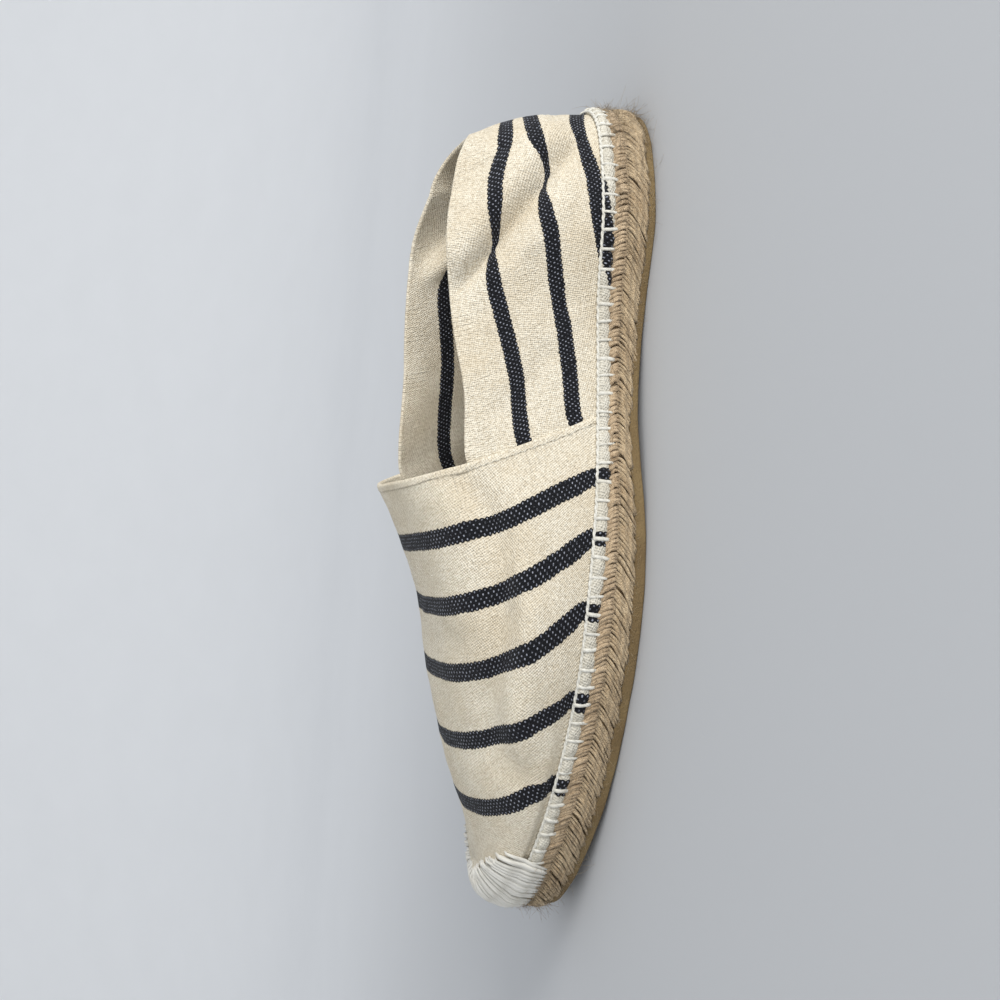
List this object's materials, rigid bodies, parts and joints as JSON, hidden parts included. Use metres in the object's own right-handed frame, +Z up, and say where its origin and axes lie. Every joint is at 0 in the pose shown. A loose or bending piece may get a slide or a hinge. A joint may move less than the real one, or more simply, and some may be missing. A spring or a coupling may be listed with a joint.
{
  "type": "espadrille",
  "caption": "Flat slip-on canvas espadrille for the right foot, woven stripes, braided jute sole on thin rubber, stitched toe and hem.",
  "frame": {"origin": "on the floor, under the middle of the shoe's box", "axes": "+Z up, -Y towards the toe, +Y towards the heel, +X towards the wearer's left, the inner flank of this right shoe"},
  "size_m": [0.0904, 0.2578, 0.0703],
  "materials": {
    "rubber": "matt cream to ochre crepe rubber",
    "jute": "braided jute rope, hairy",
    "canvas": "natural cotton canvas with woven navy stripes",
    "thread": "white cotton thread",
    "footbed": "natural cotton footbed cloth"
  },
  "bodies": {
    "root": {"outsole": "rubber", "jute_sole": "jute", "insole": "footbed", "upper": "canvas", "hem_cord": "thread", "toe_stitching": "thread"}
  },
  "joints": []
}
